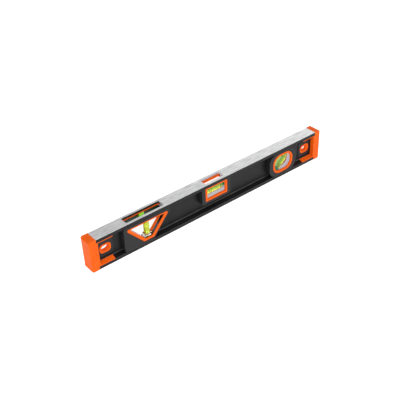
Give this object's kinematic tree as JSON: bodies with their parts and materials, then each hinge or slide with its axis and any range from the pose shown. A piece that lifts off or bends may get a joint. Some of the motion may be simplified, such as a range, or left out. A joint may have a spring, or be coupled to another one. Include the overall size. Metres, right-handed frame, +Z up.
{
  "type": "spirit level",
  "caption": "Carpenter's level with an I-section metal body, end caps, hanging eyes, and plumb, level and 45 degree vials with sliding bubbles.",
  "frame": {"origin": "middle of the bottom face", "axes": "+X along the body towards the 45 degree window, +Y through its thickness towards the back, +Z up"},
  "size_m": [0.6096, 0.0286, 0.0711],
  "materials": {
    "body_paint": "black semi-gloss paint with a fine grain; the top and bottom faces are milled bare",
    "orange_plastic": "orange satin plastic",
    "black_plastic": "black matt moulded plastic",
    "clear_acrylic": "polished clear acrylic",
    "vial_liquid": "clear yellow-green spirit",
    "air": "air bubble",
    "vial_plug": "teal sealing plug",
    "gauge_line": "black gauge line",
    "mirror_strip": "polished mirror strip"
  },
  "bodies": {
    "root": {"beam": "body_paint", "left_end_cap": "orange_plastic", "right_end_cap": "orange_plastic", "left_hang_bush": "orange_plastic", "right_hang_bush": "orange_plastic", "left_front_plate": "black_plastic", "left_rear_plate": "black_plastic", "right_front_plate": "black_plastic", "right_rear_plate": "black_plastic", "plumb_front_housing": "black_plastic", "plumb_front_bezel": "orange_plastic", "plumb_vial_frame": "orange_plastic", "plumb_left_mirror": "mirror_strip", "plumb_right_mirror": "mirror_strip", "plumb_rear_cover": "black_plastic", "plumb_rear_trim": "orange_plastic", "plumb_slot_liner": "black_plastic", "plumb_slot_trim": "orange_plastic", "plumb_slot_mirror": "mirror_strip", "plumb_vial_body": "clear_acrylic", "plumb_liquid": "vial_liquid", "plumb_plug": "clear_acrylic", "plumb_upper_ring": "gauge_line", "plumb_lower_ring": "gauge_line", "level_front_housing": "black_plastic", "level_rear_housing": "black_plastic", "level_front_bezel": "orange_plastic", "level_rear_bezel": "orange_plastic", "level_slot_trim": "orange_plastic", "level_vial_body": "clear_acrylic", "level_liquid": "vial_liquid", "level_plug": "vial_plug", "level_left_ring": "gauge_line", "level_right_ring": "gauge_line", "angle_front_housing": "black_plastic", "angle_rear_housing": "black_plastic", "angle_front_bezel": "orange_plastic", "angle_rear_bezel": "orange_plastic", "angle_vial_body": "clear_acrylic", "angle_liquid": "vial_liquid", "angle_plug": "vial_plug", "angle_lower_ring": "gauge_line", "angle_upper_ring": "gauge_line"},
    "level_bubble": {"level_bubble": "air"},
    "plumb_bubble": {"plumb_bubble": "air"},
    "angle_bubble": {"angle_bubble": "air"}
  },
  "joints": [
    {"name": "level_bubble_slide", "type": "slide", "parent": "root", "child": "level_bubble", "axis": [1, 0, 0], "range_m": [-0.011, 0.011], "stiffness_N_per_m": 2},
    {"name": "plumb_bubble_slide", "type": "slide", "parent": "root", "child": "plumb_bubble", "axis": [0, 0, 1], "range_m": [-0.017, 0], "stiffness_N_per_m": 2, "springref_m": 0.006},
    {"name": "angle_bubble_slide", "type": "slide", "parent": "root", "child": "angle_bubble", "axis": [0.7071, 0, 0.7071], "range_m": [-0.018, 0], "stiffness_N_per_m": 2, "springref_m": 0.006}
  ]
}
